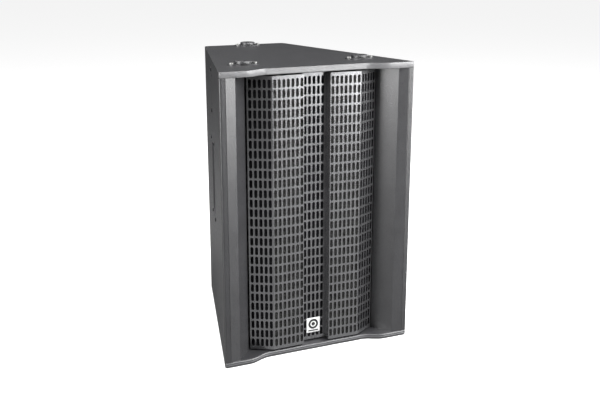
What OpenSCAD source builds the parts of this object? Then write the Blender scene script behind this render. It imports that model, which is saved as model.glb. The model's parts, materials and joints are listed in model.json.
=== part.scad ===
/* [Cabinet] */
// Height of the cabinet, over the top and bottom panels
body_h = 590; // [580:1:600]
// Width of the cabinet across the front
body_w = 408; // [404:1:414]
// Depth of the cabinet, front edge to rear face
body_d = 436; // [432:1:446]
// Angle of each side panel, inwards towards the rear
side_angle = 14; // [13.5:0.1:14.2]
// Thickness of the plywood panels
ply = 12; // [12:0.5:13]
// Radius of the cabinet's rear corners
rear_corner_r = 12; // [8:1:12]
// Radius of the cabinet's front corners
front_corner_r = 4; // [2:0.5:4]
// How far the middle of the top and bottom panels' front edge is set back
lip_recess = 15; // [12:0.5:15]

/* [Grille] */
// Thickness of the perforated sheet
sheet = 1.5; // [1:0.1:1.5]
// Slot width
slot_w = 6; // [5:0.1:6.4]
// Slot length, end to end
slot_l = 16.5; // [14:0.1:17]
// Slot pitch across
pitch_x = 9.4; // [9.4:0.1:9.5]
// Slot pitch up the grille
pitch_z = 19.65; // [19:0.05:19.7]
// Number of slot rows
slot_rows = 28; // [20:1:28]
// Width of the central channel in the grille
channel_w = 56; // [54:1:57]
// Thickness of the foam behind the grille
foam = 5; // [4:0.5:5]

/* [Drivers] */
// Outer radius of each woofer's frame
woofer_r = 105; // [103:0.5:105]
// Distance from each end of the cabinet to the nearer woofer's axis
woofer_inset = 127; // [126:1:128]
// Height of the horn's mouth flange
horn_h = 118; // [112:1:118]
// Width of the horn's mouth flange
horn_w = 250; // [240:1:260]

/* [Rigging] */
// Tapping radius of the M10 fixing points
tap_r = 4.25; // [4.2:0.01:4.3]
// Radius of the round stud at each top fixing point
stud_r = 17; // [15:0.5:17]
// Distance between the two front fixing points
rig_w = 252; // [240:1:256]
// Depth of the front fixing points behind the front edge
rig_front = 88; // [84:1:92]
// Depth of the rear fixing point behind the front edge
rig_rear = 412; // [400:1:413]

/* [Hidden] */

// Plan position of a point f in from the front corner and d behind the front edge
function plan(f, d) = [body_w / 2 - f, d - body_d / 2];
function flip(points) = [for (i = [len(points) - 1:-1:0]) [-points[i][0], points[i][1]]];
function unit(v) = v / norm(v);
function fillet(a, b, c, r, n = 6) =
    let (u = unit(a - b), v = unit(c - b), half = acos(u * v) / 2)
    let (centre = b + unit(u + v) * r / sin(half))
    let (p = b + u * r / tan(half) - centre, q = b + v * r / tan(half) - centre)
    [for (i = [0:n]) centre + r * unit(p * (n - i) / n + q * i / n)];
// A path moved sideways by t, with mitred corners; negative t is to its right
function normal_at(path, i) =
    let (last = len(path) - 1)
    let (u = unit(path[min(i + 1, last)] - path[min(i, last - 1)]))
    let (v = unit(path[max(i, 1)] - path[max(i - 1, 0)]))
    let (m = unit([-u[1] - v[1], u[0] + v[0]]))
    m / (m * [-v[1], v[0]]);
function beside(path, t) = [for (i = [0:len(path) - 1]) path[i] + t * normal_at(path, i)];
function ribbon(path, t0, t1) =
    let (far = beside(path, t1))
    concat(beside(path, t0), [for (i = [len(far) - 1:-1:0]) far[i]]);

// Clearance round a piece let into another, and how far a cut runs past a face
fit = 0.5;
bore_fit = 0.2;
past = 1;
side_slope = tan(side_angle);
wall_f = ply / cos(side_angle);
// The side faces' line passes this far outside the rounded front corners' widest point
corner_over = front_corner_r / tan(45 - side_angle / 2) - front_corner_r;
function outer_f(d) = d * side_slope - corner_over;
function inner_f(d) = outer_f(d) + wall_f;
front_y = -body_d / 2;
rear_y = body_d / 2;
corner_front = plan(outer_f(0), 0);
corner_rear = plan(outer_f(body_d), body_d);
corner_rear_left = [-corner_rear[0], corner_rear[1]];
inside_h = body_h - 2 * ply;
lip_start = 52;
lip_end = 99;
lip_steps = 10;
lip_curve = [for (i = [0:lip_steps])
    plan(lip_start + (lip_end - lip_start) * i / lip_steps,
        lip_recess * (1 - cos(180 * i / lip_steps)) / 2)];
brace_d = 256;
pad = [90, 20, 150];
pad_d = 340;
pad_z = [40, 400];

// Front trim, grille and baffle stations, as depths behind the front edge
wing_edge = [32.5, 5];
wing_inner = [63.4, 42];
wing_t = 8;
baffle_d = 62;
baffle_t = 15;
grille_gap = 3.1;
ridge_out = 110;
ridge_d = 17.5;
ridge_slant = 1.5;
ridge_in = (body_w - channel_w) / 2;
slant_d = 40;
channel_d = 34;
grille_flange_d = 58;
grille_z0 = ply + 3;
grille_h = body_h - 2 * grille_z0;
grille_f = wing_inner[0] + grille_gap;
half_path = [plan(grille_f, grille_flange_d), plan(grille_f, slant_d),
    plan(ridge_out, ridge_d - ridge_slant), plan(ridge_in, ridge_d), plan(ridge_in, channel_d)];
grille_path = concat(half_path, flip(half_path));
foam_start = half_path[1] + 0.1 * (half_path[2] - half_path[1]);
foam_half = [foam_start, half_path[2], half_path[3], half_path[4]];
foam_path = concat(foam_half, flip(foam_half));
slant_cols = 5;
ridge_cols = 7;
channel_cols = 5;
badge = [30, 32, 1.2];
badge_z = 46;
bracket_z = [40, 210, 380, 550];
bracket_h = 16;
bracket_t = 1.5;
bracket_foot = 12;
bracket_d = 48;

// Woofer stations along its axis, from the baffle's front face towards the rear
flange_t = 4;
surround_r = 90;
cone_r = 77;
roll_r = (surround_r - cone_r) / 2;
rim_a = 0.1 - flange_t;
neck_r = 19.9;
neck_a = 28;
shelf_a = 38;
seat_a = 52;
plate_a = 56;
magnet_a = 62;
back_a = 76;
back_end_a = 82;
pole_r = 18.3;
former_r = 18.8;
coil_r = 19.8;
gap_r = 20.4;
motor_r = 50;
woofer_cut_r = 92;
woofer_bolt_r = 99;
woofer_bolts = 8;
clamp_r = 94;
cap_r = 24;
cap_rise = 9;
drill_r = 2.6;
upper_z = body_h - woofer_inset;
lower_z = woofer_inset;

// Horn and compression driver stations, from the baffle's front face
horn_l = 110;
horn_wall = 3;
mouth = [horn_w / 2 - 14, horn_h / 2 - 12];
throat_r = 18;
driver_r = 54;
driver_a = horn_l + 7;
driver_l = 44;
driver_neck_l = 25;
driver_bore_r = 31;
cover_l = 20;
dome_r = 22;
dome_h = 8;
foil = 0.8;
dome_a = driver_a + 30;

// Rear panel fittings
plate_z = 300;
plate_w = 132;
plate_h = 160;
plate_t = 2.5;
plate_sink = 5.5;
plate_edge = 6;
plate_screw_h = plate_h / 2 - 7;
screw_hole_r = 2;
socket_x = 32;
socket_z = 326;
switch_z = 252;
rocker_tilt = 8;
pin_r = 1.5;
pin_depth = 4;
pin_fit = 0.06;
socket_r = 12;
socket_bore_r = 10.9;
socket_flange = [26, 31, 2.4];

// Side fittings, as depths behind the front edge along the side
side_d = 214;
handle_z = 336;
handle_w = 62;
handle_h = 150;
handle_depth = 46;
handle_rim = 12;
handle_t = 2.5;
handle_screw = 6.5;
side_plate_z = 525;
side_plate = [30, 102, 3];
side_point = 30;
side_screw = 43;
side_barrel = [9, 20];

rig_points = [[-rig_w / 2, rig_front + front_y], [rig_w / 2, rig_front + front_y],
    [0, rig_rear + front_y]];
rig_plate = [62, 26, 2];
rig_screw = 24;
rig_hole_r = 2.5;
stud_h = 6;
barrel_r = 7.8;
barrel_l = rig_plate[2] + ply;
cup_r = stud_r + 0.8;
cup_wall = 2.2;
cup_depth = 8.5;
board = [150, 120, 2];
board_y = 116;
board_z = ply + 10;
board_top = board_z + board[2];
capacitor = [9, 34];
capacitor_pitch = 20;

// A point on the right side panel's outer face, local Z outwards, local Y up
module on_right(d, z)
    translate([body_w / 2 - outer_f(d), front_y + d, z])
        rotate([90, 0, 90 + side_angle])
            children();
module on_left(d, z) mirror([1, 0, 0]) on_right(d, z) children();
// The baffle's front face at height z, local Z towards the rear
module on_baffle(z)
    translate([0, front_y + baffle_d, z])
        rotate([-90, 0, 0])
            children();
// The rear panel's outer face at height z, local Z outwards, local Y up
module on_rear(x, z)
    translate([x, rear_y, z])
        rotate([90, 0, 180])
            children();

// The recessed connector plate's outer face
module on_plate(x, z) on_rear(x, z) translate([0, 0, -plate_sink]) children();

module rounded_rect(w, h, r)
    union() {
        square([w - 2 * r, h], center = true);
        square([w, h - 2 * r], center = true);
        for (x = [-1, 1])
            for (y = [-1, 1])
                translate([x * (w / 2 - r), y * (h / 2 - r)])
                    circle(r = r, $fn = 48);
    }
// A machine screw: head above local z 0, shank below, with a hexagon socket
module screw(head_r, head_h, shank_r, length)
    difference() {
        union() {
            cylinder(r = head_r, h = head_h, $fn = 48);
            translate([0, 0, -length])
                cylinder(r = shank_r, h = length + 0.1, $fn = 48);
        }
        translate([0, 0, head_h * 0.4])
            cylinder(r = head_r * 0.5, h = head_h, $fn = 6);
    }
module ring(r_in, r_out, h)
    difference() {
        cylinder(r = r_out, h = h, $fn = 96);
        translate([0, 0, -past])
            cylinder(r = r_in, h = h + 2 * past, $fn = 96);
    }
module at_bolts(r, n)
    for (i = [0:n - 1])
        rotate([0, 0, (i + 0.5) * 360 / n])
            translate([r, 0, 0])
                children();

// Cabinet
plate_outline = concat(
    fillet(lip_curve[0], corner_front, corner_rear, front_corner_r),
    fillet(corner_front, corner_rear, corner_rear_left, rear_corner_r),
    flip(fillet(corner_front, corner_rear, corner_rear_left, rear_corner_r)),
    flip(fillet(lip_curve[0], corner_front, corner_rear, front_corner_r)),
    [for (p = lip_curve) [-p[0], p[1]]],
    [for (i = [len(lip_curve) - 1:-1:0]) lip_curve[i]]);

module top_panel()
    color("dimgray")
        translate([0, 0, body_h - ply])
            difference() {
                linear_extrude(ply) polygon(plate_outline);
                for (p = rig_points)
                    translate([p[0], p[1], -past]) {
                        cylinder(r = barrel_r + bore_fit, h = ply + 2 * past, $fn = 48);
                        for (s = [-1, 1])
                            translate([s * rig_screw, 0, 0])
                                cylinder(r = rig_hole_r, h = ply + 2 * past, $fn = 32);
                    }
            }
module bottom_panel()
    color("dimgray")
        difference() {
            linear_extrude(ply) polygon(plate_outline);
            for (p = rig_points)
                translate([p[0], p[1], -past])
                    cylinder(r = cup_r + cup_wall + bore_fit, h = ply + 2 * past, $fn = 64);
        }
module side_panel_right()
    difference() {
        translate([0, 0, ply])
            linear_extrude(inside_h)
                polygon(concat(
                    fillet(plan(inner_f(0), 0), corner_front, corner_rear, front_corner_r),
                    fillet(corner_front, corner_rear, corner_rear_left, rear_corner_r),
                    [plan(inner_f(body_d), body_d), plan(inner_f(0), 0)]));
        on_right(side_d, handle_z) {
            translate([0, 0, -ply - past])
                linear_extrude(ply + 2 * past)
                    rounded_rect(handle_w + 2 * handle_t + 2 * fit,
                        handle_h + 2 * handle_t + 2 * fit, 14);
            translate([0, 0, -handle_t])
                linear_extrude(handle_t + past)
                    rounded_rect(handle_w + 2 * handle_rim + 2 * fit,
                        handle_h + 2 * handle_rim + 2 * fit, 10);
            at_handle_screws()
                translate([0, 0, -ply - past])
                    cylinder(r = screw_hole_r, h = ply, $fn = 32);
        }
        on_right(side_d, side_plate_z) {
            translate([0, 0, -side_plate[2]])
                linear_extrude(side_plate[2] + past)
                    rounded_rect(side_plate[0] + 2 * fit, side_plate[1] + 2 * fit, 8);
            for (y = [-1, 1]) {
                translate([0, y * side_point, -ply - past])
                    cylinder(r = side_barrel[0] + bore_fit, h = ply, $fn = 48);
                translate([0, y * side_screw, -ply - past])
                    cylinder(r = rig_hole_r, h = ply, $fn = 32);
            }
        }
    }
module right_side_panel() color("dimgray") side_panel_right();
module left_side_panel() color("dimgray") mirror([1, 0, 0]) side_panel_right();
module rear_panel()
    color("dimgray")
        difference() {
            translate([0, 0, ply])
                linear_extrude(inside_h)
                    polygon(let (a = plan(inner_f(body_d), body_d))
                        let (b = plan(inner_f(body_d - ply), body_d - ply))
                        [a, [-a[0], a[1]], [-b[0], b[1]], b]);
            on_rear(0, plate_z) {
                translate([0, 0, -ply - past])
                    linear_extrude(ply + 2 * past)
                        rounded_rect(plate_w - 4 * plate_edge, plate_h - 4 * plate_edge, 8);
                translate([0, 0, -plate_sink - plate_t])
                    linear_extrude(plate_sink + plate_t + past)
                        rounded_rect(plate_w + 2 * fit, plate_h + 2 * fit, 8);
                at_plate_screws()
                    translate([0, 0, -ply - past])
                        cylinder(r = screw_hole_r, h = ply, $fn = 32);
            }
        }
module front_baffle()
    color("dimgray")
        difference() {
            translate([0, 0, ply])
                linear_extrude(inside_h)
                    polygon(let (a = plan(inner_f(baffle_d), baffle_d))
                        let (b = plan(inner_f(baffle_d + baffle_t), baffle_d + baffle_t))
                        [a, b, [-b[0], b[1]], [-a[0], a[1]]]);
            for (z = [lower_z, upper_z])
                on_baffle(z)
                    translate([0, 0, -past]) {
                        cylinder(r = woofer_cut_r, h = baffle_t + 2 * past, $fn = 96);
                        at_bolts(woofer_bolt_r, woofer_bolts)
                            cylinder(r = drill_r, h = baffle_t + 2 * past, $fn = 32);
                    }
            on_baffle(body_h / 2)
                translate([0, 0, -past]) {
                    linear_extrude(baffle_t + 2 * past)
                        rounded_rect(2 * mouth[0] + 8, 2 * mouth[1] + 8, 8);
                    at_horn_bolts()
                        cylinder(r = drill_r, h = baffle_t + 2 * past, $fn = 32);
                }
        }
module internal_brace()
    color("burlywood")
        difference() {
            translate([0, 0, ply])
                linear_extrude(inside_h)
                    polygon(let (a = plan(inner_f(brace_d), brace_d))
                        let (b = plan(inner_f(brace_d + ply), brace_d + ply))
                        [a, b, [-b[0], b[1]], [-a[0], a[1]]]);
            for (z = [lower_z, body_h / 2, upper_z])
                translate([0, front_y + brace_d - past, z])
                    rotate([-90, 0, 0])
                        linear_extrude(ply + 2 * past)
                            rounded_rect(190, 128, 30);
        }
module damping_lining()
    color("gainsboro")
        for (z = pad_z)
            translate([0, 0, z]) {
                translate([-pad[0] / 2, rear_y - ply - pad[1], 0])
                    cube(pad);
                for (s = [0, 1])
                    mirror([s, 0, 0])
                        on_right(pad_d, 0)
                            translate([-pad[0] / 2, 0, -ply - pad[1]])
                                cube([pad[0], pad[2], pad[1]]);
            }

// Angled trims between the cabinet's front edges and the grille
module wing_right()
    translate([0, 0, ply])
        linear_extrude(inside_h)
            polygon([plan(inner_f(0), 0), plan(wing_edge[0], wing_edge[1]),
                plan(wing_inner[0], wing_inner[1]), plan(wing_inner[0], baffle_d),
                plan(wing_inner[0] - wing_t, baffle_d), plan(wing_inner[0] - wing_t, 45),
                plan(28.5, 13.5), plan(inner_f(11), 11)]);
module right_wing() color("gray") wing_right();
module left_wing() color("gray") mirror([1, 0, 0]) wing_right();

// Grille
module slot()
    union() {
        square([slot_w, slot_l - slot_w], center = true);
        for (y = [-1, 1])
            translate([0, y * (slot_l - slot_w) / 2])
                circle(d = slot_w, $fn = 32);
    }
module slot_grid(cols)
    for (c = [0:cols - 1])
        for (r = [0:slot_rows - 1])
            translate([(c - (cols - 1) / 2) * pitch_x, (r - (slot_rows - 1) / 2) * pitch_z])
                slot();
// Slots cut through one flat stretch of the grille, from plan point a to plan point b
module slots_between(a, b, cols)
    translate([(a[0] + b[0]) / 2, (a[1] + b[1]) / 2, body_h / 2])
        rotate([0, 0, atan2(b[1] - a[1], b[0] - a[0])])
            rotate([90, 0, 0])
                translate([0, 0, -2 * sheet])
                    linear_extrude(4 * sheet)
                        slot_grid(cols);
module front_grille()
    color("darkgray")
        difference() {
            translate([0, 0, grille_z0])
                linear_extrude(grille_h)
                    polygon(ribbon(grille_path, 0, -sheet));
            for (s = [0, 1])
                mirror([s, 0, 0]) {
                    slots_between(half_path[1], half_path[2], slant_cols);
                    slots_between(half_path[2], half_path[3], ridge_cols);
                }
            slots_between(half_path[4], flip(half_path)[0], channel_cols);
        }
module grille_foam()
    color("black")
        translate([0, 0, grille_z0])
            linear_extrude(grille_h)
                polygon(ribbon(foam_path, -sheet, -sheet - foam));
module grille_brackets()
    color("silver")
        for (s = [0, 1])
            mirror([s, 0, 0])
                for (z = bracket_z)
                    translate([0, 0, z - bracket_h / 2])
                        linear_extrude(bracket_h)
                            polygon(let (f = grille_f + sheet, d = baffle_d)
                                [plan(f, bracket_d), plan(f + bracket_t, bracket_d),
                                plan(f + bracket_t, d - bracket_t),
                                plan(f + bracket_foot, d - bracket_t),
                                plan(f + bracket_foot, d), plan(f, d)]);
module badge_plate()
    color("white")
        translate([0, front_y + channel_d, badge_z])
            rotate([90, 0, 0])
                linear_extrude(badge[2])
                    rounded_rect(badge[0], badge[1], 1.5);

// Woofers; each module is drawn about the driver's axis, local Z towards the rear
module basket()
    color("dimgray")
        difference() {
            rotate_extrude($fn = 96)
                polygon([[86, -flange_t], [woofer_r, -flange_t], [woofer_r, 0], [91, 0],
                    [91, 4], [54, seat_a], [motor_r + 2, plate_a], [30, plate_a],
                    [30, seat_a], [50, seat_a], [55, shelf_a + 4], [43, shelf_a + 4],
                    [43, shelf_a], [58.5, shelf_a], [86, 2]]);
            for (i = [0:5])
                rotate([0, 0, i * 60])
                    translate([40, 0, 6])
                        linear_extrude(30)
                            polygon([[10, -8], [60, -30], [60, 30], [10, 8]]);
            at_bolts(woofer_bolt_r, woofer_bolts)
                translate([0, 0, -flange_t - past])
                    cylinder(r = drill_r + bore_fit, h = flange_t + 2 * past, $fn = 32);
        }
module clamp_ring()
    color("black")
        translate([0, 0, -flange_t - 3])
            ring(surround_r, clamp_r, 2);
module surround()
    color("black")
        rotate_extrude($fn = 96)
            polygon(concat(
                [[clamp_r, -flange_t], [clamp_r, -flange_t - 1]],
                [for (i = [0:10]) [surround_r - roll_r - 0.5 + roll_r * cos(18 * i),
                    -flange_t - 1 - roll_r * sin(18 * i)]],
                [[cone_r - 2.5, -flange_t - 1], [cone_r - 2.5, -flange_t]],
                [for (i = [10:-1:0]) [surround_r - roll_r - 0.5 + (roll_r - 1) * cos(18 * i),
                    -flange_t - (roll_r - 1) * sin(18 * i)]]));
module cone()
    color("darkslategray")
        rotate_extrude($fn = 96)
            polygon([[cone_r, rim_a], [cone_r - 2.5, rim_a], [cone_r - 3.5, rim_a + 1],
                [neck_r, neck_a - 1], [neck_r, neck_a], [cone_r - 2, rim_a + 1.6]]);
function cone_front(r) = let (t = (cone_r - 3.5 - r) / (cone_r - 3.5 - neck_r))
    rim_a + 1 + t * (neck_a - 2 - rim_a);
// Half of a shallow dome's profile, from its crown out to its rim at height a
function dome(r, rise, a) =
    [for (i = [0:8]) [r * cos(90 - 11.25 * i), a + rise * sin(90 - 11.25 * i)]];
module dust_cap()
    color("black")
        rotate_extrude($fn = 96)
            polygon(let (a = cone_front(cap_r))
                concat(dome(cap_r, -cap_rise, a), [for (i = [8:-1:0])
                    dome(cap_r - 1.4, 1 - cap_rise, a)[i]]));
module voice_coil()
    color("orange")
        union() {
            translate([0, 0, neck_a - 4])
                ring(former_r, coil_r - 0.5, 34);
            translate([0, 0, plate_a - 6])
                ring(former_r + 0.2, coil_r, 8);
        }
module spider()
    color("goldenrod")
        rotate_extrude($fn = 96)
            polygon(let (a = shelf_a - 1)
                concat([for (i = [0:10]) [coil_r - 0.2 + 2.2 * i, a - 0.9 * sin(90 * i)]],
                    [[53, a], [53, a + 0.8]],
                    [for (i = [10:-1:0]) [coil_r - 0.2 + 2.2 * i, a + 0.8 - 0.9 * sin(90 * i)]]));
module front_plate()
    color("silver")
        translate([0, 0, plate_a])
            ring(gap_r, motor_r, magnet_a - plate_a);
module magnet()
    color("slategray")
        translate([0, 0, magnet_a])
            ring(24, motor_r - 3, back_a - magnet_a);
module back_plate()
    color("silver")
        difference() {
            union() {
                translate([0, 0, back_a])
                    cylinder(r = motor_r, h = back_end_a - back_a, $fn = 96);
                translate([0, 0, plate_a])
                    cylinder(r = pole_r, h = back_end_a - plate_a, $fn = 96);
            }
            translate([0, 0, plate_a - past])
                cylinder(r = 6, h = back_end_a - plate_a + 2 * past, $fn = 48);
        }
module woofer_screws()
    color("black")
        for (z = [lower_z, upper_z])
            on_baffle(z)
                at_bolts(woofer_bolt_r, woofer_bolts)
                    translate([0, 0, -flange_t])
                        mirror([0, 0, 1])
                            screw(4.2, 4, 2.4, 20);

// Horn and compression driver, local Z towards the rear
function flare(t, end) = throat_r + (end - throat_r) * pow(1 - t, 1.7);
module horn_solid(extra, start)
    intersection() {
        rotate([90, 0, 0])
            translate([0, 0, -horn_h])
                linear_extrude(2 * horn_h)
                    polygon(flare_outline(mouth[0], extra, start));
        rotate([90, 0, 90])
            translate([0, 0, -horn_w])
                linear_extrude(2 * horn_w)
                    polygon(flare_outline(mouth[1], extra, start));
    }
function flare_outline(end, extra, start) =
    let (edge = [for (i = [0:10]) [flare(i / 10, end) + extra, start + (horn_l - start) * i / 10]])
    concat(edge, [for (i = [10:-1:0]) [-edge[i][0], edge[i][1]]]);
module at_horn_bolts()
    for (x = [-1, 0, 1])
        for (y = [-1, 1])
            translate([x * (horn_w / 2 - 7), y * (horn_h / 2 - 4.5), 0])
                children();
module horn()
    color("black")
        on_baffle(body_h / 2)
            difference() {
                union() {
                    translate([0, 0, -flange_t])
                        linear_extrude(flange_t)
                            rounded_rect(horn_w, horn_h, 8);
                    horn_solid(horn_wall, -0.1);
                    translate([0, 0, horn_l - 1])
                        cylinder(r = 46, h = driver_a - horn_l + 1, $fn = 96);
                }
                horn_solid(0, -flange_t - past);
                translate([0, 0, horn_l - 2 * past])
                    cylinder(r = throat_r, h = driver_a - horn_l + 4 * past, $fn = 64);
                at_horn_bolts()
                    translate([0, 0, -flange_t - past])
                        cylinder(r = drill_r, h = flange_t + 2 * past, $fn = 32);
            }
module horn_screws()
    color("black")
        on_baffle(body_h / 2)
            at_horn_bolts()
                translate([0, 0, -flange_t])
                    mirror([0, 0, 1])
                        screw(4, 3, 2.2, 18);
module hf_driver_body()
    color("darkgray")
        on_baffle(body_h / 2)
            translate([0, 0, driver_a])
                difference() {
                    cylinder(r = driver_r, h = driver_l, $fn = 96);
                    translate([0, 0, -past])
                        cylinder(r = throat_r, h = driver_neck_l + past, $fn = 64);
                    translate([0, 0, driver_neck_l - past])
                        cylinder(r = driver_bore_r, h = driver_l, $fn = 96);
                }
module hf_driver_cover()
    color("black")
        on_baffle(body_h / 2)
            translate([0, 0, driver_a + driver_l])
                rotate_extrude($fn = 96)
                    polygon([[0, cover_l], [38, cover_l], [46, cover_l - 8], [50, 0],
                        [46, 0], [42, cover_l - 11], [36, cover_l - 3], [0, cover_l - 3]]);
module hf_diaphragm()
    color("silver")
        on_baffle(body_h / 2)
            translate([0, 0, dome_a])
                rotate_extrude($fn = 96)
                    polygon(concat(dome(dome_r, dome_h, 0),
                        [[dome_r + 7, 0], [dome_r + 7, -foil], [dome_r - foil, -foil]],
                        [for (i = [7:-1:0]) dome(dome_r - foil, dome_h - foil, 0)[i]]));

// Crossover
module at_standoffs()
    for (x = [-1, 1])
        for (y = [-1, 1])
            translate([x * (board[0] / 2 - 8), board_y + y * (board[1] / 2 - 8), 0])
                children();
module crossover_board()
    color("darkgreen")
        difference() {
            translate([0, board_y, board_z])
                linear_extrude(board[2])
                    square([board[0], board[1]], center = true);
            at_standoffs()
                translate([0, 0, board_z - past])
                    cylinder(r = 1.7, h = board[2] + 2 * past, $fn = 32);
        }
module board_standoffs()
    color("gold")
        at_standoffs() {
            translate([0, 0, ply])
                cylinder(r = 4, h = board_z - ply, $fn = 32);
            translate([0, 0, board_top])
                screw(3, 2, 1.5, board[2]);
        }
module crossover_coils()
    color("chocolate")
        for (p = [[-42, 22, 24, 20], [34, 26, 20, 16], [36, -24, 16, 14]])
            translate([p[0], board_y + p[1], board_top])
                ring(p[2] / 2, p[2], p[3]);
module crossover_capacitors()
    color("royalblue")
        for (i = [0:3])
            translate([-56 + i * capacitor_pitch, board_y - 34, board_top + capacitor[0]])
                rotate([90, 0, 0])
                    cylinder(r = capacitor[0], h = capacitor[1], center = true, $fn = 48);

// Wires from the sockets to the board, and from the board to each driver
function across(path, i) =
    unit(cross(path[min(i + 1, len(path) - 1)] - path[max(i - 1, 0)], [1, 0.4, 0.2]));
function upward(path, i) =
    unit(cross(across(path, i), path[min(i + 1, len(path) - 1)] - path[max(i - 1, 0)]));
wire_sides = 8;
module wire(path, r = 1.6)
    polyhedron(
        points = [for (i = [0:len(path) - 1])
            for (k = [0:wire_sides - 1])
                path[i] + r * (cos(k * 360 / wire_sides) * across(path, i)
                    + sin(k * 360 / wire_sides) * upward(path, i))],
        faces = concat(
            [[for (k = [0:wire_sides - 1]) k]],
            [[for (k = [wire_sides - 1:-1:0]) (len(path) - 1) * wire_sides + k]],
            [for (i = [0:len(path) - 2])
                for (k = [0:wire_sides - 1])
                    let (m = (k + 1) % wire_sides)
                    [i * wire_sides + k, (i + 1) * wire_sides + k,
                        (i + 1) * wire_sides + m, i * wire_sides + m]]));
module wiring_loom()
    color("red") {
        wire([[-32, 184, 326], [-32, 181, 300], [-32, 180, 60], [-8, 166, 26]]);
        wire([[4, 160, 26], [12, 172, 60], [12, 168, 250], [12, 60, 270], [12, 27, 270]]);
        wire([[60, 128, 26], [70, 90, 90], [70, -40, 90], [56, -110, 100]]);
        wire([[66, 134, 26], [84, 110, 90], [84, 110, 440], [84, 0, 440], [56, -110, 436]]);
    }

// Rear panel fittings
module at_plate_screws()
    for (x = [-1, 1])
        for (y = [-1, 0, 1])
            translate([x * (plate_w / 2 - plate_edge), y * plate_screw_h, 0])
                children();
module connector_plate()
    color("silver")
        on_plate(0, plate_z)
            difference() {
                translate([0, 0, -plate_t])
                    linear_extrude(plate_t)
                        rounded_rect(plate_w, plate_h, 7.5);
                for (x = [-1, 1])
                    translate([x * socket_x, socket_z - plate_z, -plate_t - past])
                        cylinder(r = socket_r + bore_fit, h = plate_t + 2 * past, $fn = 64);
                translate([0, switch_z - plate_z, -plate_t - past])
                    linear_extrude(plate_t + 2 * past)
                        square([20, 28], center = true);
                at_plate_screws()
                    translate([0, 0, -plate_t - past])
                        cylinder(r = screw_hole_r, h = plate_t + 2 * past, $fn = 32);
            }
module connector_plate_screws()
    color("black")
        on_plate(0, plate_z)
            at_plate_screws()
                screw(3.8, 2.4, 1.7, 12);
// A locking loudspeaker socket: square flange, keyed round mouth, blind barrel
module socket_body()
    color("black")
        difference() {
            union() {
                linear_extrude(socket_flange[2])
                    rounded_rect(socket_flange[0], socket_flange[1], 3);
                translate([0, 0, -26])
                    cylinder(r = socket_r, h = 27, $fn = 64);
                translate([0, 0, 2])
                    ring(socket_bore_r, socket_r + 0.4, 2);
            }
            translate([0, 0, -20])
                cylinder(r = socket_bore_r, h = 30, $fn = 64);
            for (a = [0, 180])
                rotate([0, 0, a])
                    translate([9.5, -2, -8])
                        cube([2.2, 4, 20]);
        }
module socket()
    union() {
        socket_body();
        color("black")
            translate([0, 0, -20.5])
                cylinder(r = 5, h = 19, $fn = 48);
    }
module input_socket() on_plate(-socket_x, socket_z) socket();
module link_socket() on_plate(socket_x, socket_z) socket();
module mode_switch_housing()
    color("black")
        on_plate(0, switch_z)
            difference() {
                union() {
                    linear_extrude(2)
                        rounded_rect(25, 33, 2);
                    translate([-9.8, -13.8, -20])
                        cube([19.6, 27.6, 20.5]);
                }
                translate([-7.8, -11.8, -14])
                    cube([15.6, 23.6, 20]);
                translate([-9.9, 0, -pin_depth])
                    rotate([0, 90, 0])
                        cylinder(r = pin_r + pin_fit, h = 19.8, $fn = 32);
            }
module mode_switch_rocker()
    color("crimson")
        on_plate(0, switch_z)
            translate([0, 0, -pin_depth])
                rotate([rocker_tilt, 0, 0])
                    union() {
                        translate([-7.3, 0, 0])
                            rotate([90, 0, 90])
                                linear_extrude(14.6)
                                    polygon([[-10.6, 1], [-10.8, 6.5], [0, 5.2], [10.8, 6.5],
                                        [10.6, 1], [4, -3], [-4, -3]]);
                        translate([-9.2, 0, 0])
                            rotate([0, 90, 0])
                                cylinder(r = pin_r, h = 18.4, $fn = 32);
                    }

// Side fittings
module at_handle_screws()
    for (x = [-1, 1])
        for (y = [-1, 1])
            translate([x * (handle_w / 2 + handle_screw), y * (handle_h / 2 + handle_screw), 0])
                children();
module handle_cup_right()
    on_right(side_d, handle_z)
        difference() {
            union() {
                translate([0, 0, -handle_t])
                    linear_extrude(handle_t)
                        rounded_rect(handle_w + 2 * handle_rim, handle_h + 2 * handle_rim, 9.5);
                translate([0, 0, -handle_depth])
                    linear_extrude(handle_depth - past)
                        rounded_rect(handle_w + 2 * handle_t, handle_h + 2 * handle_t, 13);
            }
            translate([0, 0, handle_t - handle_depth])
                linear_extrude(handle_depth)
                    rounded_rect(handle_w, handle_h, 11);
            at_handle_screws()
                translate([0, 0, -handle_t - past])
                    cylinder(r = screw_hole_r + bore_fit, h = handle_t + 2 * past, $fn = 32);
        }
module right_handle_cup() color("black") handle_cup_right();
module left_handle_cup() color("black") mirror([1, 0, 0]) handle_cup_right();
module handle_screws()
    color("black")
        for (s = [0, 1])
            mirror([s, 0, 0])
                on_right(side_d, handle_z)
                    at_handle_screws()
                        screw(3.8, 2, 1.8, 12);
module side_rigging_plates()
    color("dimgray")
        for (s = [0, 1])
            mirror([s, 0, 0])
                on_right(side_d, side_plate_z)
                    difference() {
                        union() {
                            translate([0, 0, -side_plate[2]])
                                linear_extrude(side_plate[2])
                                    rounded_rect(side_plate[0], side_plate[1], 7.5);
                            for (y = [-1, 1])
                                translate([0, y * side_point, -side_barrel[1] - 2])
                                    cylinder(r = side_barrel[0], h = side_barrel[1], $fn = 48);
                        }
                        for (y = [-1, 1]) {
                            translate([0, y * side_point, -side_barrel[1] - 2 - past])
                                cylinder(r = tap_r, h = side_barrel[1] + 2 + 2 * past, $fn = 48);
                            translate([0, y * side_screw, -side_plate[2] - past])
                                cylinder(r = drill_r, h = side_plate[2] + 2 * past, $fn = 32);
                        }
                    }
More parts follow.
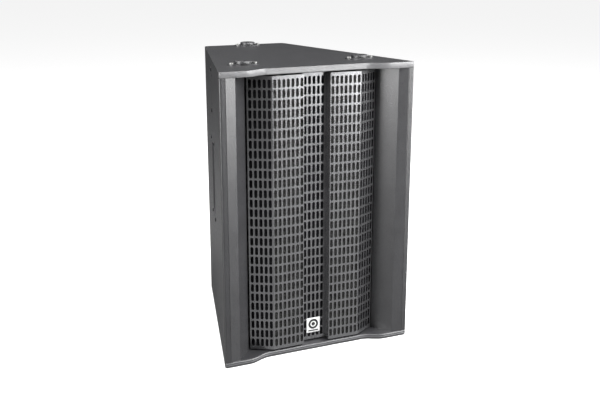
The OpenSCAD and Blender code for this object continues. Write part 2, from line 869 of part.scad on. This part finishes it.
module side_rigging_screws()
    color("black")
        for (s = [0, 1])
            mirror([s, 0, 0])
                on_right(side_d, side_plate_z)
                    for (y = [-1, 1])
                        translate([0, y * side_screw, 0])
                            screw(4.6, 2.2, 2.3, 12);

// Top and bottom fixing points
module top_rigging_plates()
    color("dimgray")
        for (p = rig_points)
            translate([p[0], p[1], body_h])
                difference() {
                    linear_extrude(rig_plate[2])
                        rounded_rect(rig_plate[0], rig_plate[1], 12.9);
                    translate([0, 0, -past])
                        cylinder(r = barrel_r + bore_fit, h = rig_plate[2] + 2 * past, $fn = 48);
                    for (s = [-1, 1])
                        translate([s * rig_screw, 0, -past])
                            cylinder(r = rig_hole_r, h = rig_plate[2] + 2 * past, $fn = 32);
                }
module top_rigging_studs()
    color("silver")
        for (p = rig_points)
            translate([p[0], p[1], body_h + rig_plate[2]])
                rotate_extrude($fn = 96)
                    polygon([[tap_r, -barrel_l], [barrel_r, -barrel_l], [barrel_r, 0],
                        [stud_r - 0.5, 0], [stud_r, 0.5], [stud_r, stud_h - 2],
                        [stud_r - 0.6, stud_h - 0.6], [stud_r - 2, stud_h], [tap_r, stud_h]]);
module top_rigging_screws()
    color("silver")
        for (p = rig_points)
            for (s = [-1, 1])
                translate([p[0] + s * rig_screw, p[1], body_h + rig_plate[2]])
                    screw(4.4, 2.4, 2.3, 12);
module bottom_rigging_cups()
    color("silver")
        for (p = rig_points)
            translate([p[0], p[1], 0])
                rotate_extrude($fn = 96)
                    polygon([[tap_r, cup_depth], [cup_r, cup_depth], [cup_r, 0],
                        [cup_r + cup_wall, 0], [cup_r + cup_wall, ply], [9, ply],
                        [9, 30], [tap_r, 30]]);

top_panel();
bottom_panel();
left_side_panel();
right_side_panel();
rear_panel();
front_baffle();
internal_brace();
damping_lining();
left_wing();
right_wing();
front_grille();
grille_foam();
grille_brackets();
badge_plate();
on_baffle(upper_z) basket();  // upper_woofer_basket
on_baffle(upper_z) clamp_ring();  // upper_woofer_clamp_ring
on_baffle(upper_z) surround();  // upper_woofer_surround
on_baffle(upper_z) cone();  // upper_woofer_cone
on_baffle(upper_z) dust_cap();  // upper_woofer_dust_cap
on_baffle(upper_z) voice_coil();  // upper_woofer_voice_coil
on_baffle(upper_z) spider();  // upper_woofer_spider
on_baffle(upper_z) front_plate();  // upper_woofer_front_plate
on_baffle(upper_z) magnet();  // upper_woofer_magnet
on_baffle(upper_z) back_plate();  // upper_woofer_back_plate
on_baffle(lower_z) basket();  // lower_woofer_basket
on_baffle(lower_z) clamp_ring();  // lower_woofer_clamp_ring
on_baffle(lower_z) surround();  // lower_woofer_surround
on_baffle(lower_z) cone();  // lower_woofer_cone
on_baffle(lower_z) dust_cap();  // lower_woofer_dust_cap
on_baffle(lower_z) voice_coil();  // lower_woofer_voice_coil
on_baffle(lower_z) spider();  // lower_woofer_spider
on_baffle(lower_z) front_plate();  // lower_woofer_front_plate
on_baffle(lower_z) magnet();  // lower_woofer_magnet
on_baffle(lower_z) back_plate();  // lower_woofer_back_plate
woofer_screws();
horn();
horn_screws();
hf_driver_body();
hf_driver_cover();
hf_diaphragm();
crossover_board();
crossover_coils();
crossover_capacitors();
board_standoffs();
wiring_loom();
connector_plate();
connector_plate_screws();
input_socket();
link_socket();
mode_switch_housing();
mode_switch_rocker();
left_handle_cup();
right_handle_cup();
handle_screws();
top_rigging_plates();
top_rigging_studs();
top_rigging_screws();
bottom_rigging_cups();
side_rigging_plates();
side_rigging_screws();
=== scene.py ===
import json
import math

import bmesh
import bpy
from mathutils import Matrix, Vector


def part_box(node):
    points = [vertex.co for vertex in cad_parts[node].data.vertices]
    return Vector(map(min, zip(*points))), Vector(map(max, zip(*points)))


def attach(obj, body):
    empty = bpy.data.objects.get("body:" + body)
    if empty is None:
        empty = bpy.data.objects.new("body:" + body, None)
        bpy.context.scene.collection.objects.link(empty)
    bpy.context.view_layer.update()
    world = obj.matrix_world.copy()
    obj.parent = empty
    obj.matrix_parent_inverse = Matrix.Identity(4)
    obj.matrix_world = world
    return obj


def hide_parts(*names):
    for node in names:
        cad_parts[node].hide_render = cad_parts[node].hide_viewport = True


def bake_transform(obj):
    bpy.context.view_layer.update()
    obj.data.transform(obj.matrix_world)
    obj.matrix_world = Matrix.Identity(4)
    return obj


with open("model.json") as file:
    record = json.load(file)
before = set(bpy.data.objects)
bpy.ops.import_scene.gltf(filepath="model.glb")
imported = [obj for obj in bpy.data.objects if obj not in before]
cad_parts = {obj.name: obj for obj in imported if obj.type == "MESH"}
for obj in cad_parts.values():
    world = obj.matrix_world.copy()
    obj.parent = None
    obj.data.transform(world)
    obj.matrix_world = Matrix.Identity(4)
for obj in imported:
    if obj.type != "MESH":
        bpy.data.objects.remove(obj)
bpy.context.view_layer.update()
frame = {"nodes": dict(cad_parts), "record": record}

NODES = frame["nodes"]
MM = 0.001

# ---------------------------------------------------------------- camera
# A three-quarter view from above the front left edge, with a little vertical shift
CAMERA_PLACE = (-0.6863, -1.7172, 0.8041)
CAMERA_YAW = 23.186
CAMERA_TILT = 14.836
CAMERA_LENS = 52.10
CAMERA_SHIFT = -0.0375


def add_camera():
    data = bpy.data.cameras.new("camera")
    data.lens = CAMERA_LENS
    data.sensor_width = 36
    data.shift_y = CAMERA_SHIFT
    data.clip_end = 100
    camera = bpy.data.objects.new("camera", data)
    camera.location = CAMERA_PLACE
    camera.rotation_euler = (math.radians(90 - CAMERA_TILT), 0, -math.radians(CAMERA_YAW))
    bpy.context.collection.objects.link(camera)
    bpy.context.scene.camera = camera


# ---------------------------------------------------------------- node helpers
def new_material(name, color, roughness, metallic=0.0, coat=0.0, specular=0.5):
    """A material with its principled shader's own sockets set."""
    mat = bpy.data.materials.new(name)
    mat.use_nodes = True
    shader = mat.node_tree.nodes["Principled BSDF"]
    shader.inputs["Base Color"].default_value = (*color, 1)
    shader.inputs["Roughness"].default_value = roughness
    shader.inputs["Metallic"].default_value = metallic
    shader.inputs["Coat Weight"].default_value = coat
    shader.inputs["Coat Roughness"].default_value = 0.25
    shader.inputs["Specular IOR Level"].default_value = specular
    return mat, shader


def add(mat, kind, **values):
    """A node, with inputs given by name and properties in lower case."""
    node = mat.node_tree.nodes.new(kind)
    for key, value in values.items():
        if key in node.inputs:
            node.inputs[key].default_value = value
        else:
            setattr(node, key, value)
    return node


def link(mat, a, out, b, into):
    mat.node_tree.links.new(a.outputs[out], b.inputs[into])


def noise(mat, scale, detail=3.0, stretch=(1, 1, 1)):
    """Noise in the object's own coordinates, which are metres."""
    coords = add(mat, "ShaderNodeTexCoord")
    mapping = add(mat, "ShaderNodeMapping")
    mapping.inputs["Scale"].default_value = stretch
    tex = add(mat, "ShaderNodeTexNoise", Scale=scale, Detail=detail, Roughness=0.6)
    link(mat, coords, "Object", mapping, "Vector")
    link(mat, mapping, "Vector", tex, "Vector")
    return tex


def ramp(mat, source, out, low, high, at=(0.35, 0.65)):
    node = add(mat, "ShaderNodeValToRGB")
    node.color_ramp.elements[0].position = at[0]
    node.color_ramp.elements[1].position = at[1]
    node.color_ramp.elements[0].color = (*low, 1)
    node.color_ramp.elements[1].color = (*high, 1)
    link(mat, source, out, node, "Fac")
    return node


def spread(mat, source, out, low, high, at=(0.3, 0.7)):
    """A number that follows a texture between two values."""
    node = add(mat, "ShaderNodeMapRange")
    node.inputs["From Min"].default_value = at[0]
    node.inputs["From Max"].default_value = at[1]
    node.inputs["To Min"].default_value = low
    node.inputs["To Max"].default_value = high
    link(mat, source, out, node, "Value")
    return node


def bump(mat, shader, source, out, strength, distance, under=None):
    node = add(mat, "ShaderNodeBump", Strength=strength, Distance=distance)
    link(mat, source, out, node, "Height")
    if under is not None:
        link(mat, under, "Normal", node, "Normal")
    link(mat, node, "Normal", shader, "Normal")
    return node


def tint(color, k):
    return tuple(min(1.0, c * k) for c in color)


# ---------------------------------------------------------------- materials
def textured_lacquer(name, color, grain=620.0, depth=0.00035, rough=(0.32, 0.46),
                     specular=0.5):
    """Sprayed structure paint: small rounded grains, slight mottling."""
    mat, shader = new_material(name, color, 0.5, specular=specular)
    mottle = noise(mat, 24.0, 4.0)
    grains = noise(mat, grain, 2.0)
    shade = ramp(mat, mottle, "Fac", tint(color, 0.86), tint(color, 1.14))
    link(mat, shade, "Color", shader, "Base Color")
    gloss = spread(mat, grains, "Fac", rough[0], rough[1])
    link(mat, gloss, "Result", shader, "Roughness")
    coarse = noise(mat, grain * 0.35, 2.0)
    first = bump(mat, shader, coarse, "Fac", 0.6, depth * 2.2)
    bump(mat, shader, grains, "Fac", 0.7, depth * 1.3, first)
    return mat


def smooth_paint(name, color, rough=0.35, coat=0.0, metallic=0.0):
    """Satin enamel or powder coat with a faint orange peel; metallic is its metal pigment."""
    mat, shader = new_material(name, color, rough, metallic, coat)
    peel = noise(mat, 900.0, 2.0)
    wide = noise(mat, 30.0, 3.0)
    shade = ramp(mat, wide, "Fac", tint(color, 0.9), tint(color, 1.1))
    link(mat, shade, "Color", shader, "Base Color")
    bump(mat, shader, peel, "Fac", 0.25, 0.00012)
    return mat


def metal(name, color, rough=0.32, stretch=(1, 1, 12)):
    """Plated or turned metal with fine lines."""
    mat, shader = new_material(name, color, rough, metallic=1.0)
    lines = noise(mat, 700.0, 2.0, stretch)
    gloss = spread(mat, lines, "Fac", rough * 0.75, rough * 1.35)
    link(mat, gloss, "Result", shader, "Roughness")
    patina = noise(mat, 40.0, 4.0)
    shade = ramp(mat, patina, "Fac", tint(color, 0.82), tint(color, 1.05))
    link(mat, shade, "Color", shader, "Base Color")
    bump(mat, shader, lines, "Fac", 0.12, 0.00005)
    return mat


def moulded(name, color, rough=0.45, grain=1400.0):
    """Moulded plastic or rubber with a fine spark-eroded grain."""
    mat, shader = new_material(name, color, rough)
    grains = noise(mat, grain, 2.0)
    gloss = spread(mat, grains, "Fac", rough * 0.85, rough * 1.2)
    link(mat, gloss, "Result", shader, "Roughness")
    wide = noise(mat, 60.0, 2.0)
    shade = ramp(mat, wide, "Fac", tint(color, 0.85), tint(color, 1.15))
    link(mat, shade, "Color", shader, "Base Color")
    bump(mat, shader, grains, "Fac", 0.2, 0.00012)
    return mat


# A mix node's sockets for colours, which share their names with its number sockets
MIX_A = 6
MIX_B = 7
MIX_COLOR = 2


def open_foam(name, color, lit):
    """Open-cell foam of one real colour, painted as grey cell walls in painted light where it lies
    on the ridges and near black in painted shade elsewhere.
    """
    mat, shader = new_material(name, color, 0.95, specular=0.05)
    coords = add(mat, "ShaderNodeTexCoord")
    cells = add(mat, "ShaderNodeTexVoronoi", Scale=360.0)
    link(mat, coords, "Object", cells, "Vector")
    patches = noise(mat, 170.0, 4.0)
    mix = add(mat, "ShaderNodeMath", operation="MULTIPLY")
    link(mat, cells, "Distance", mix, 0)
    link(mat, patches, "Fac", mix, 1)
    shade = ramp(mat, mix, 0, tint(lit, 0.15), tint(lit, 1.6), at=(0.1, 0.36))
    apart = add(mat, "ShaderNodeSeparateXYZ")
    link(mat, coords, "Object", apart, "Vector")
    across = add(mat, "ShaderNodeMath", operation="ABSOLUTE")
    link(mat, apart, "X", across, 0)
    # Painted light and shade: the foam takes its lit colour over the ridges and its near-black
    # colour elsewhere.
    ridge_painted_light_mask = add(mat, "ShaderNodeMath", operation="COMPARE")
    ridge_painted_light_mask.inputs[1].default_value = (RIDGE_IN + RIDGE_OUT) / 2
    ridge_painted_light_mask.inputs[2].default_value = (RIDGE_OUT - RIDGE_IN) / 2
    link(mat, across, 0, ridge_painted_light_mask, 0)
    blend = add(mat, "ShaderNodeMix", data_type="RGBA")
    link(mat, ridge_painted_light_mask, 0, blend, "Factor")
    link(mat, shade, "Color", blend, MIX_B)
    blend.inputs[MIX_A].default_value = (*color, 1)
    link(mat, blend, MIX_COLOR, shader, "Base Color")
    bump(mat, shader, cells, "Distance", 0.8, 0.001)
    return mat


def plywood(name, color):
    mat, shader = new_material(name, color, 0.6)
    grain = noise(mat, 18.0, 6.0, (14, 14, 1))
    shade = ramp(mat, grain, "Fac", tint(color, 0.7), tint(color, 1.2))
    link(mat, shade, "Color", shader, "Base Color")
    bump(mat, shader, grain, "Fac", 0.2, 0.0003)
    return mat


def painted_ply_edge(name, color, hollow_tone_and_shade, crest_tone_and_highlight):
    """Thin lacquer over a sawn plywood edge, its ply lines darker in the hollows and lighter on the
    crests: partly the plies' own tone, partly painted shade and painted highlight. The two factors
    are how light each ply line is in its hollow and on its crest.
    """
    mat, shader = new_material(name, color, 0.4, specular=0.6)
    coords = add(mat, "ShaderNodeTexCoord")
    mapping = add(mat, "ShaderNodeMapping")
    mapping.inputs["Scale"].default_value = (0.12, 0.12, 1)
    link(mat, coords, "Object", mapping, "Vector")
    plies = add(mat, "ShaderNodeTexWave", bands_direction="Z", Scale=PLY_WAVE, Distortion=1.6,
                Detail=3.0)
    plies.inputs["Detail Scale"].default_value = 2.5
    link(mat, mapping, "Vector", plies, "Vector")
    # Painted shade in the ply hollows and painted highlight on the crests, over the plies' own
    # tone.
    shade = ramp(mat, plies, "Fac", tint(color, hollow_tone_and_shade), tint(color, crest_tone_and_highlight), at=(0.25, 0.85))
    link(mat, shade, "Color", shader, "Base Color")
    gloss = spread(mat, plies, "Fac", 0.6, 0.32)
    link(mat, gloss, "Result", shader, "Roughness")
    bump(mat, shader, plies, "Fac", 0.6, 0.0006)
    return mat


def woven(name, color, scale=900.0):
    """Cloth or felt: threads as parallel bands."""
    mat, shader = new_material(name, color, 0.9, specular=0.2)
    coords = add(mat, "ShaderNodeTexCoord")
    threads = add(mat, "ShaderNodeTexWave", Scale=scale, Distortion=1.5)
    link(mat, coords, "Object", threads, "Vector")
    shade = ramp(mat, threads, "Fac", tint(color, 0.7), tint(color, 1.1))
    link(mat, shade, "Color", shader, "Base Color")
    bump(mat, shader, threads, "Fac", 0.4, 0.0003)
    return mat


# A wave texture's scale for three plies in a 12 mm panel
PLY_WAVE = 78.0
# The ridges' inner and outer edges, as distances from the middle of the front; the foam is painted
# lighter between them as painted light.
RIDGE_IN = 0.028
RIDGE_OUT = 0.094
CABINET_GREY = (0.011, 0.011, 0.012)
TRIM_GREY = (0.015, 0.015, 0.016)
GRILLE_GREY = (0.16, 0.16, 0.165)

MATERIALS = {
    "cabinet_lacquer": textured_lacquer("cabinet_lacquer", CABINET_GREY),
    # Painted highlight: a lighter copy of the cabinet lacquer on the top panel's front edge stands
    # in for the light along that edge.
    "top_edge_painted_highlight": textured_lacquer("top_edge_painted_highlight", (0.058, 0.058, 0.060), rough=(0.34, 0.44),
                                 specular=0.8),
    # Ply lines on the bottom's front edge, partly painted highlight and painted shade.
    "ply_edge": painted_ply_edge("ply_edge", (0.014, 0.014, 0.015), 0.5, 3.4),
    "trim_lacquer": textured_lacquer("trim_lacquer", TRIM_GREY, 900.0, 0.00012, (0.26, 0.36), 0.58),
    "bare_ply": plywood("bare_ply", (0.50, 0.36, 0.22)),
    "lining": woven("lining", (0.55, 0.55, 0.56), 500.0),
    "grille_coat": smooth_paint("grille_coat", GRILLE_GREY, 0.24, metallic=0.92),
    # The foam's first colour is painted shade away from the ridges, its second painted light on
    # them.
    "foam": open_foam("foam", (0.0025, 0.0025, 0.003), (0.010, 0.010, 0.0098)),
    "zinc_steel": metal("zinc_steel", (0.22, 0.22, 0.215), 0.5),
    "dark_steel": smooth_paint("dark_steel", (0.010, 0.010, 0.011), 0.42),
    "badge_ink": moulded("badge_ink", (0.006, 0.006, 0.006), 0.95),
    "badge_white": smooth_paint("badge_white", (0.46, 0.46, 0.46), 0.5),
    "cast_basket": moulded("cast_basket", (0.03, 0.03, 0.03), 0.5, 700.0),
    "black_rubber": moulded("black_rubber", (0.02, 0.02, 0.02), 0.6),
    "paper_cone": moulded("paper_cone", (0.035, 0.035, 0.037), 0.7, 500.0),
    "coil_copper": metal("coil_copper", (0.75, 0.40, 0.20), 0.3),
    "spider_cloth": woven("spider_cloth", (0.70, 0.52, 0.22)),
    "magnet_black": moulded("magnet_black", (0.05, 0.05, 0.055), 0.55, 500.0),
    "horn_plastic": moulded("horn_plastic", (0.025, 0.025, 0.027), 0.5),
    "titanium": metal("titanium", (0.62, 0.62, 0.63), 0.25),
    "circuit_board": smooth_paint("circuit_board", (0.02, 0.18, 0.06), 0.3),
    "capacitor_film": smooth_paint("capacitor_film", (0.05, 0.14, 0.45), 0.25),
    "brass": metal("brass", (0.72, 0.55, 0.25), 0.25),
    "wire_red": moulded("wire_red", (0.45, 0.03, 0.03), 0.45),
    "black_plastic": moulded("black_plastic", (0.022, 0.022, 0.024), 0.3),
    "rocker_red": moulded("rocker_red", (0.45, 0.03, 0.03), 0.25),
}


def paint_cad_nodes():
    """Every CAD node takes the material of its slot in the record."""
    for part in frame["record"]["subparts"]:
        mesh = NODES[part["node"]].data
        mesh.materials.clear()
        mesh.materials.append(MATERIALS[part["material_slot"]])


# ---------------------------------------------------------------- pieces from CAD meshes
def mesh_object(name, bm, finish):
    """An object from a finished bmesh, which this frees, in one material."""
    mesh = bpy.data.meshes.new(name)
    bm.to_mesh(mesh)
    bm.free()
    mesh.materials.append(MATERIALS[finish])
    made = bpy.data.objects.new(name, mesh)
    bpy.context.collection.objects.link(made)
    return made


# Faces this level or this broad (square metres) are shaded flat
LEVEL = 0.9999
BROAD = 0.002


def smooth_by_angle(bm, degrees=32):
    limit = math.radians(degrees)
    for face in bm.faces:
        face.smooth = abs(face.normal.z) < LEVEL and face.calc_area() < BROAD
    for edge in bm.edges:
        faces = edge.link_faces
        edge.smooth = len(faces) == 2 and faces[0].normal.angle(faces[1].normal, 0) < limit


SHARP = math.radians(40)
# Points of a CAD mesh closer than this, in metres, are one point
MERGE = 2e-6
# Neighbouring faces within this angle are one face
COPLANAR = math.radians(0.4)


def eased(node, name, material_slot, rounds):
    """The CAD node's own shape with edges rounded: (which edges, radius, steps) at a time."""
    bm = bmesh.new()
    bm.from_mesh(NODES[node].data)
    bmesh.ops.remove_doubles(bm, verts=bm.verts, dist=MERGE)
    bmesh.ops.dissolve_limit(bm, angle_limit=COPLANAR, verts=bm.verts, edges=bm.edges)
    for chosen, radius, steps in rounds:
        bm.normal_update()
        edges = [e for e in bm.edges
                 if len(e.link_faces) == 2
                 and e.link_faces[0].normal.angle(e.link_faces[1].normal, 0) > SHARP
                 and chosen(*(v.co for v in e.verts))]
        bmesh.ops.bevel(bm, geom=edges, offset=radius, offset_type="OFFSET", segments=steps,
                        profile=0.5, affect="EDGES", clamp_overlap=True)
    bmesh.ops.triangulate(bm, faces=[f for f in bm.faces if len(f.verts) > 4])
    bm.normal_update()
    smooth_by_angle(bm)
    piece = mesh_object(name, bm, material_slot)
    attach(piece, "cabinet")
    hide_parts(node)
    return piece


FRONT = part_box("top_panel")[0].y
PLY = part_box("bottom_panel")[1].z
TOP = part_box("top_panel")[1].z
EDGE_ROUND = 8 * MM
LIP_ROUND = 1.5 * MM
LIP_DEPTH = 17 * MM
CORNER_ROUND = 7 * MM
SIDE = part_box("top_panel")[1].x
STRAIGHT = 1e-5
# A panel's face belongs to its sawn front edge when its normal's y is below this
FACING = -0.55
# How far from a rigging point its hole's rim reaches
RIM = 24 * MM
STUD_RADIUS = 17 * MM
TRIM_ROUND = 1.2 * MM
TRIM_HEIGHT = 0.4


def front_edge_highlight_or_plies(piece, finish):
    """Give the faces of a panel's sawn front edge their own material: a painted highlight on the
    top panel, ply lines with painted highlight and shade on the bottom panel.
    """
    mesh = piece.data
    mesh.materials.append(MATERIALS[finish])
    for face in mesh.polygons:
        if face.normal.y < FACING and face.center.y < FRONT + LIP_DEPTH:
            face.material_index = 1


def near_point(a):
    return any((a.xy - hole).length < RIM for hole in RIG_POINTS)


def level(z):
    """Edges at height z, apart from the rims of the fixing holes."""
    def chosen(a, b):
        return abs(a.z - z) < STRAIGHT and abs(b.z - z) < STRAIGHT and not near_point(a)
    return chosen


def front_lip(z):
    """The front edge at height z, between the cabinet's front corners."""
    def chosen(a, b):
        return level(z)(a, b) and max(a.y, b.y) < FRONT + LIP_DEPTH
    return chosen


def upright(a, b):
    return (a.xy - b.xy).length < STRAIGHT and abs(a.z - b.z) > TRIM_HEIGHT


def outer_front(a, b):
    """The upright outer edges at the cabinet's two front corners."""
    return (a.xy - b.xy).length < STRAIGHT and abs(a.x) > SIDE - 1 * MM \
        and a.y < FRONT + 1 * MM


def rig_points():
    lo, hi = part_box("top_rigging_studs")
    front = lo.y + STUD_RADIUS
    return [Vector((lo.x + STUD_RADIUS, front)), Vector((hi.x - STUD_RADIUS, front)),
            Vector(((lo.x + hi.x) / 2, hi.y - STUD_RADIUS))]


RIG_POINTS = rig_points()


def add_cabinet():
    # The top panel's front edge takes the painted highlight, the bottom panel's the ply lines.
    front_edge_highlight_or_plies(eased(
        "top_panel", "cabinet_top", "cabinet_lacquer",
        [(outer_front, CORNER_ROUND, 5), (level(TOP), EDGE_ROUND, 5),
         (front_lip(TOP - PLY), LIP_ROUND, 2)]), "top_edge_painted_highlight")
    front_edge_highlight_or_plies(eased(
        "bottom_panel", "cabinet_bottom", "cabinet_lacquer",
        [(outer_front, CORNER_ROUND, 5), (level(0), EDGE_ROUND, 5),
         (front_lip(PLY), LIP_ROUND, 2)]), "ply_edge")
    for side in ("left", "right"):
        eased(side + "_side_panel", side + "_side", "cabinet_lacquer",
              [(outer_front, CORNER_ROUND, 5)])
        eased(side + "_wing", side + "_angled_trim", "trim_lacquer", [(upright, TRIM_ROUND, 3)])


def ring_prism(bm, centre, r_in, r_out, y0, y1, turns=48):
    """A flat ring, or a disc when r_in is 0, that stands out from y1 to y0 towards the front."""
    rims = []
    for radius, y in ((r_in, y1), (r_in, y0), (r_out, y0), (r_out, y1)):
        if radius == 0:
            rims.append([bm.verts.new((centre[0], y, centre[1]))] * turns)
            continue
        rims.append([bm.verts.new((centre[0] + radius * math.cos(a), y,
                                   centre[1] + radius * math.sin(a)))
                     for a in (2 * math.pi * i / turns for i in range(turns))])
    for near, far in zip(rims, rims[1:] + rims[:1]):
        for i in range(turns):
            j = (i + 1) % turns
            corners = list(dict.fromkeys((near[i], near[j], far[j], far[i])))
            if len(corners) > 2:
                bm.faces.new(corners)


MARK_HEIGHT = 0.58
MARK_RINGS = ((0, 4.0), (6.5, 11.0))
MARK_BAR = (22 * MM, 0.35 * MM, 3.0 * MM)
BAR_RISE = 4.2 * MM
MARK_PROUD = 0.25 * MM


def add_badge():
    """A white plate with eased edges and a plain pictogram: a dot, a ring and a bar."""
    eased("badge_plate", "badge", "badge_white", [(badge_front, 0.4 * MM, 3)])
    lo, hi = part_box("badge_plate")
    middle = ((lo.x + hi.x) / 2, lo.z + MARK_HEIGHT * (hi.z - lo.z))
    bm = bmesh.new()
    near = lo.y - MARK_PROUD
    far = near + MARK_BAR[1]
    for r_in, r_out in MARK_RINGS:
        ring_prism(bm, middle, r_in * MM, r_out * MM, near, far)
    bar = bmesh.ops.create_cube(bm, size=1.0)["verts"]
    bmesh.ops.scale(bm, verts=bar, vec=MARK_BAR)
    bmesh.ops.translate(bm, verts=bar, vec=(middle[0], (near + far) / 2, lo.z + BAR_RISE))
    bmesh.ops.recalc_face_normals(bm, faces=bm.faces)
    mark = mesh_object("badge_mark", bm, "badge_ink")
    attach(mark, "cabinet")


def badge_front(a, b):
    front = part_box("badge_plate")[0].y
    return abs(a.y - front) < STRAIGHT and abs(b.y - front) < STRAIGHT


# ---------------------------------------------------------------- woofer suspensions
SECTORS = 16
# Part, finish, radius where the basket holds it, radius where the moving cone carries it
SUSPENSIONS = [
    ("surround", "black_rubber", 88 * MM, 75.5 * MM),
    ("spider", "spider_cloth", 46 * MM, 20.5 * MM),
]


def sector(node, centre, middle, half):
    """The part of a round node's mesh between two half planes through its axis."""
    bm = bmesh.new()
    bm.from_mesh(NODES[node].data)
    bmesh.ops.remove_doubles(bm, verts=bm.verts, dist=MERGE)
    for side in (-1, 1):
        angle = middle + side * half
        outwards = Vector((-math.sin(angle), 0, math.cos(angle))) * side
        bmesh.ops.bisect_plane(bm, geom=bm.verts[:] + bm.edges[:] + bm.faces[:],
                               plane_co=centre, plane_no=outwards, clear_outer=True)
    bmesh.ops.triangulate(bm, faces=[f for f in bm.faces if len(f.verts) > 4])
    bm.normal_update()
    smooth_by_angle(bm)
    return bm


def add_suspension(woofer, part, finish, held, carried):
    """A round flexible part cut into sectors around its axis."""
    node = "%s_woofer_%s" % (woofer, part)
    lo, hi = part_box(node)
    centre = (lo + hi) / 2
    half = math.pi / SECTORS
    for i in range(SECTORS):
        middle = 2 * half * i
        name = "%s_%s_%02d" % (woofer, part, i + 1)
        piece = mesh_object(name, sector(node, centre, middle, half), finish)
        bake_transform(piece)
        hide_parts(node)


# ---------------------------------------------------------------- studio
STUDIO_GREY = 0.05
FLOOR_GREY = 0.13
FLOOR_PALE = 0.3
FLOOR_GLOW = 0.88
AIM = Vector((0, -0.1, 0.34))
# name, degrees round from the front (right is positive), distance, height, size, watts
SOFTBOXES = [
    ("key_right", 46, 2.3, 1.2, (2.2, 2.4), 245),
    ("side_left", -76, 2.4, 1.15, (1.2, 2.0), 195),
    ("rear_right", 122, 2.6, 0.8, (1.2, 1.6), 26),
    ("rear_high", -165, 1.7, 2.3, (1.0, 0.8), 22),
    ("overhead", 25, 1.2, 2.5, (1.8, 1.3), 230),
]


def add_softbox(name, degrees, distance, height, size, watts):
    data = bpy.data.lights.new(name, "AREA")
    data.shape = "RECTANGLE"
    data.size, data.size_y = size
    data.energy = watts
    light = bpy.data.objects.new(name, data)
    angle = math.radians(degrees)
    light.location = (distance * math.sin(angle), -distance * math.cos(angle), height)
    direction = AIM - light.location
    light.rotation_euler = direction.to_track_quat("-Z", "Y").to_euler()
    light.visible_camera = False
    bpy.context.collection.objects.link(light)


def seen_or_lit(tree, seen, lit, output):
    """One shader where the picture shows the surface, another where it only lights things."""
    path = tree.nodes.new("ShaderNodeLightPath")
    mix = tree.nodes.new("ShaderNodeMixShader")
    tree.links.new(path.outputs["Is Camera Ray"], mix.inputs["Fac"])
    tree.links.new(lit, mix.inputs[1])
    tree.links.new(seen, mix.inputs[2])
    tree.links.new(mix.outputs["Shader"], output.inputs["Surface"])


def add_world():
    world = bpy.data.worlds.new("studio")
    world.use_nodes = True
    tree = world.node_tree
    backdrop = tree.nodes["Background"]
    backdrop.inputs["Color"].default_value = (1, 1, 1, 1)
    room = tree.nodes.new("ShaderNodeBackground")
    room.inputs["Color"].default_value = (STUDIO_GREY, STUDIO_GREY, STUDIO_GREY, 1)
    seen_or_lit(tree, backdrop.outputs["Background"], room.outputs["Background"],
                tree.nodes["World Output"])
    bpy.context.scene.world = world
    bpy.context.scene.view_settings.view_transform = "Standard"


def add_floor():
    mesh = bpy.data.meshes.new("floor")
    reach = 40.0
    corners = [(-reach, -reach, 0), (reach, -reach, 0), (reach, reach, 0), (-reach, reach, 0)]
    mesh.from_pydata(corners, [], [(0, 1, 2, 3)])
    floor = bpy.data.objects.new("floor", mesh)
    bpy.context.collection.objects.link(floor)
    mat, shader = new_material("floor", (FLOOR_PALE,) * 3, 0.9, specular=0.1)
    shader.inputs["Emission Color"].default_value = (1, 1, 1, 1)
    shader.inputs["Emission Strength"].default_value = FLOOR_GLOW
    dim = mat.node_tree.nodes.new("ShaderNodeBsdfDiffuse")
    dim.inputs["Color"].default_value = (FLOOR_GREY, FLOOR_GREY, FLOOR_GREY, 1)
    seen_or_lit(mat.node_tree, shader.outputs["BSDF"], dim.outputs["BSDF"],
                mat.node_tree.nodes["Material Output"])
    mesh.materials.append(mat)


def add_studio():
    add_world()
    for softbox in SOFTBOXES:
        add_softbox(*softbox)
    add_floor()


add_camera()
paint_cad_nodes()
add_cabinet()
add_badge()
for suspension in SUSPENSIONS:
    add_suspension("upper", *suspension)
    add_suspension("lower", *suspension)
add_studio()
